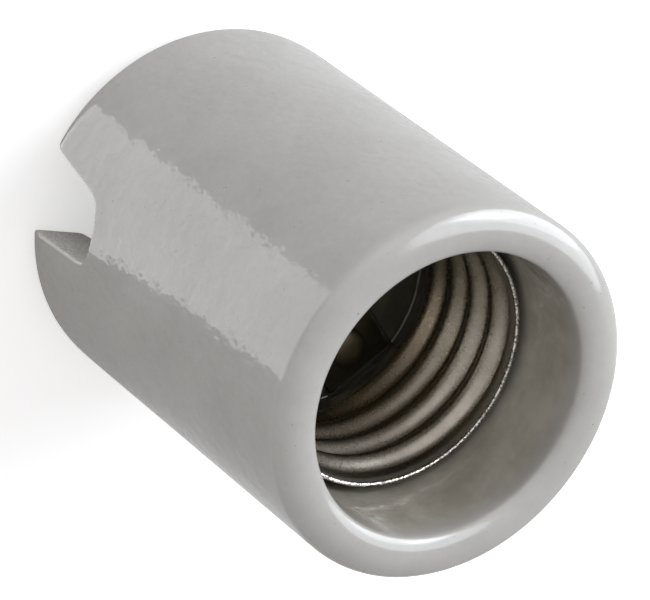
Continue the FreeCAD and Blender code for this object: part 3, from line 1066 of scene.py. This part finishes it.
# %% Shell plate
# The deepest tone is painted shade for the thread's lower turns, where the light fades.
SHELL_LIGHT, SHELL_DARK, SHELL_PAINTED_SHADE = (0.40, 0.365, 0.32), (0.33, 0.295, 0.25), (0.20, 0.165, 0.12)
COLLAR_TONE, COLLAR_ROUGHNESS = (0.50, 0.46, 0.40), 0.42
GRAIN_DARK, GRAIN_LIGHT, RIM_ROUGHNESS = (0.22, 0.20, 0.17), (0.95, 0.92, 0.87), 0.16


def shell_plate():
    material = plate_material("nickel_plate", SHELL_LIGHT, SHELL_DARK, (0.24, 0.34), 0.002)
    tree = material.node_tree
    shader = tree.nodes["Principled BSDF"]
    place = tree.nodes["Texture Coordinate"].outputs["Object"]
    _, height, _ = parts_of_place(tree, place)
    # Painted shade: darker from a little below the rim down to the ledge.
    deep_shade_share = ranged(tree, height, LEDGE, SHELL_TOP - 6)
    rim = ranged(tree, height, SHELL_TOP - 0.2, SHELL_TOP - 0.4)
    collar = ranged(tree, height, SHELL_TOP - 0.8, SHELL_TOP - 1.5)
    sparkle = noise(tree, place, 0.22, 1, 0.5)
    sparkle = ramp(tree, sparkle, (0.42, GRAIN_DARK), (0.58, GRAIN_LIGHT))
    tone = shader.inputs["Base Color"].links[0].from_socket
    gloss = shader.inputs["Roughness"].links[0].from_socket
    tone = blend_colours(tree, deep_shade_share, tone, SHELL_PAINTED_SHADE)
    tone = blend_colours(tree, collar, tone, COLLAR_TONE)
    tone = blend_colours(tree, rim, tone, sparkle)
    gloss = blend_colours(tree, collar, gloss, grey(COLLAR_ROUGHNESS))
    gloss = blend_colours(tree, rim, gloss, grey(RIM_ROUGHNESS))
    tree.links.new(tone, shader.inputs["Base Color"])
    tree.links.new(gloss, shader.inputs["Roughness"])
    scrub = blend_colours(tree, collar, LEVEL, noise(tree, place, 0.3, 3, 0.8))
    bump(tree, shader, scrub, 1.0, 0.12)
    return material


dress(shell, shell_plate())
print(f"collar above {SHELL_TOP - 1.5:.1f} mm, cut edge above {SHELL_TOP - 0.4:.1f} mm")

# %% [markdown]
# ## Camera
# The holder is seen from above its mouth with a long lens, which keeps its sides nearly parallel, and
# the camera is rolled. Tracking an empty would fix the roll, so the camera is turned, raised and rolled
# where it aims, and then backs away.

# %% Camera
VIEW_TURN = math.radians(-26.4358)  # round the holder, from +X
VIEW_RISE = math.radians(49.7267)  # above the plane of the rear rim
VIEW_ROLL = math.radians(127.5987)
VIEW_DISTANCE = 0.48297  # metres
AIM = Vector((-0.6325, 0.3340, 25.6074)) * MM

lens = bpy.data.cameras.new("camera")
lens.sensor_width = 36
lens.lens = 275.5
lens.clip_end = 10
camera = bpy.data.objects.new("camera", lens)
bpy.context.scene.collection.objects.link(camera)
turned = Matrix.Rotation(VIEW_TURN + math.pi / 2, 4, "Z")
raised = Matrix.Rotation(math.pi / 2 - VIEW_RISE, 4, "X")
rolled = Matrix.Rotation(VIEW_ROLL, 4, "Z")
backed = Matrix.Translation((0, 0, VIEW_DISTANCE))
camera.matrix_world = Matrix.Translation(AIM) @ turned @ raised @ rolled @ backed
bpy.context.scene.camera = camera
bpy.context.scene.view_settings.view_transform = "Standard"
print("camera at", [round(c / MM, 1) for c in camera.matrix_world.translation], "mm")

# %% [markdown]
# ## Studio light
# A white surround gives even light, as a light tent does. The camera and the metal see it as pure
# white, and it lights the porcelain more softly, so that the pale glaze keeps its tones. A Light Path
# node tells the two apart.

# %% Studio light
SOFT_COLOUR, SOFT_STRENGTH = (1.0, 0.97, 0.965, 1), 0.45


def seen_share(tree, *other_rays):
    """1 for rays from the camera and the other rays named, 0 for light on the object."""
    path = tree.nodes.new("ShaderNodeLightPath")
    seen = path.outputs["Is Camera Ray"]
    for ray in other_rays:
        seen = maths(tree, "MAXIMUM", seen, path.outputs[ray])
    return seen


def mix_shaders(tree, share, first, second):
    node = tree.nodes.new("ShaderNodeMixShader")
    for number, socket in enumerate((share, first, second)):
        tree.links.new(socket, node.inputs[number])
    return node.outputs[0]


world = bpy.data.worlds.new("studio")
bpy.context.scene.world = world
world.use_nodes = True
tree = world.node_tree
soft = tree.nodes["Background"]
soft.inputs["Color"].default_value = SOFT_COLOUR
soft.inputs["Strength"].default_value = SOFT_STRENGTH
white = tree.nodes.new("ShaderNodeBackground")
white.inputs["Strength"].default_value = 1.0
seen = seen_share(tree, "Is Glossy Ray", "Is Transmission Ray")
either = mix_shaders(tree, seen, soft.outputs[0], white.outputs[0])
tree.links.new(either, tree.nodes["World Output"].inputs["Surface"])
print("surround lights at", SOFT_STRENGTH)

# %% [markdown]
# ## Lamps
# One large soft lamp stands on the far side of the mouth, and a weak one in front fills the shadows. A
# wide panel and a window pane only show as reflections: the bright sweep over the lip and the small
# cold highlights.

# %% Lamps
LAMP_DISTANCE = 0.8  # metres, from the middle of the holder
COOL, COOLER = (0.90, 0.94, 1.0), (0.82, 0.89, 1.0)


def lamp(name, toward, size, power, colour):
    """A soft round lamp, aimed at the middle of the holder. Size in metres, power in watts."""
    data = bpy.data.lights.new(name, "AREA")
    data.shape = "DISK"
    data.size = size
    data.energy = power
    data.color = colour
    item = bpy.data.objects.new(name, data)
    bpy.context.scene.collection.objects.link(item)
    toward = Vector(toward).normalized()
    item.location = Vector((0, 0, LENGTH / 2 * MM)) + toward * LAMP_DISTANCE
    item.rotation_euler = toward.to_track_quat("Z", "Y").to_euler()
    return item


lamp("window_side", toward=(-0.64, -0.62, 0.45), size=0.8, power=5.0, colour=(0.91, 0.96, 1.0))
lamp("front_side", toward=(0.6, -0.7, 0.4), size=1.2, power=1.3, colour=(0.95, 0.96, 1.0))
panel = lamp("glare_panel", toward=(-0.62, -0.5, 0.6), size=1.1, power=12, colour=COOL)
pane = lamp("window_pane", toward=(-0.474, -0.63, 0.615), size=0.3, power=1.7, colour=COOLER)
pane.data.shape = "SQUARE"
for mirrored in (panel, pane):
    mirrored.visible_diffuse = False
    print(mirrored.name, "shows in reflections only")

# %% [markdown]
# ## Floor
# The holder stands on a white sheet that runs far beyond the picture. The camera sees it with a little
# glow, so that it is white where it is lit and still shows the shadow. Its back is clear, so that the
# open rear can be seen from below.

# %% Floor
SHEET_REACH = 3.0  # metres
SHEET_WHITE, SHEET_GLOW = (0.9, 0.9, 0.9, 1), 0.52


def empty_material(name):
    material = bpy.data.materials.new(name)
    material.use_nodes = True
    material.node_tree.nodes.clear()
    return material, material.node_tree


def white_sheet():
    material, tree = empty_material("white_sheet")
    plain = tree.nodes.new("ShaderNodeBsdfDiffuse")
    plain.inputs["Color"].default_value = SHEET_WHITE
    glow = tree.nodes.new("ShaderNodeEmission")
    glow.inputs["Strength"].default_value = SHEET_GLOW
    lit = tree.nodes.new("ShaderNodeAddShader")
    tree.links.new(plain.outputs[0], lit.inputs[0])
    tree.links.new(glow.outputs[0], lit.inputs[1])
    seen = seen_share(tree, "Is Transmission Ray")
    front = mix_shaders(tree, seen, plain.outputs[0], lit.outputs[0])
    behind = tree.nodes.new("ShaderNodeNewGeometry").outputs["Backfacing"]
    clear = tree.nodes.new("ShaderNodeBsdfTransparent").outputs[0]
    sheet = mix_shaders(tree, behind, front, clear)
    tree.links.new(sheet, tree.nodes.new("ShaderNodeOutputMaterial").inputs["Surface"])
    return material


def flat_sheet(name, corners, material):
    """One flat face with four corners, given in metres."""
    mesh = bpy.data.meshes.new(name)
    mesh.from_pydata(corners, [], [(0, 1, 2, 3)])
    mesh.materials.append(material)
    sheet = bpy.data.objects.new(name, mesh)
    bpy.context.scene.collection.objects.link(sheet)
    return sheet


corners = [(x * SHEET_REACH, y * SHEET_REACH, 0) for x, y in ((-1, -1), (1, -1), (1, 1), (-1, 1))]
floor = flat_sheet("floor_sheet", corners, white_sheet())
print("floor sheet", 2 * SHEET_REACH, "m across")

# %% [markdown]
# ## Reflector card
# The upright wall mirrors the sheet it stands on. A brighter card there, on the side that faces the
# camera, shows in the glaze as one long band. A strip lamp's band would have soft ends. The card is
# hidden from the camera and adds no light of its own.

# %% Reflector card
CARD_NEAR, CARD_FAR = 0.0205, 0.3  # metres from the axis
CARD_HEIGHT = 0.0003  # metres
CARD_FIRST, CARD_LAST = math.radians(-31.5), math.radians(17)
CARD_GLOW = 2.4

material, tree = empty_material("card_glow")
glow = tree.nodes.new("ShaderNodeEmission")
glow.inputs["Strength"].default_value = CARD_GLOW
tree.links.new(glow.outputs[0], tree.nodes.new("ShaderNodeOutputMaterial").inputs["Surface"])
corners = [(*place_at(r, a), CARD_HEIGHT)
           for r, a in ((CARD_NEAR, CARD_FIRST), (CARD_NEAR, CARD_LAST),
                        (CARD_FAR, CARD_LAST), (CARD_FAR, CARD_FIRST))]
card = flat_sheet("reflector_card", corners, material)
card.visible_camera = False
card.visible_diffuse = False
card.visible_shadow = False
print(f"card from {math.degrees(CARD_FIRST):.1f} to {math.degrees(CARD_LAST):.1f} degrees")
